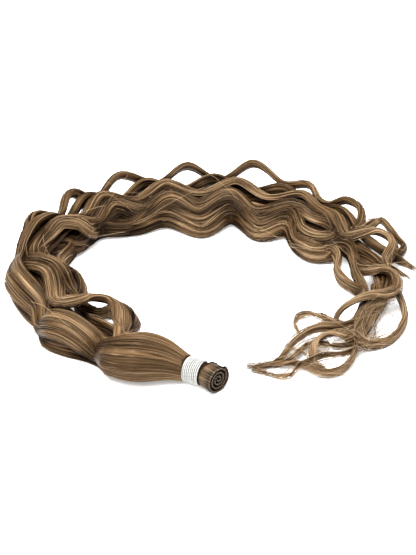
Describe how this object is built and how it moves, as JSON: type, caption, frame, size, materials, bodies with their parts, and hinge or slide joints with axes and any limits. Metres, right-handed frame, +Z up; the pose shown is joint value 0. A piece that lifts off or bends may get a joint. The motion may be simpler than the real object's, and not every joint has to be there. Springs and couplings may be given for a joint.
{
  "type": "hand-tied hair weft",
  "caption": "Wavy hair weft laid down as an open ring: loose locks drawn into a neck that a wound thread ties, with the sewn band rolled up beyond the tie.",
  "frame": {"origin": "middle of the overall box, on the surface that the hair lies on", "axes": "+Z up from that surface, -Y towards the tied end, +X towards the tail of the ring, the long way of the oval"},
  "size_m": [0.2124, 0.206, 0.0251],
  "materials": {
    "hair": "satin ash brown hair",
    "weft_band": "brown hair sewn into a thin band",
    "thread": "matt white thread"
  },
  "bodies": {
    "root": {"hair": "hair", "weft_band": "weft_band", "thread_tie": "thread"}
  },
  "joints": []
}
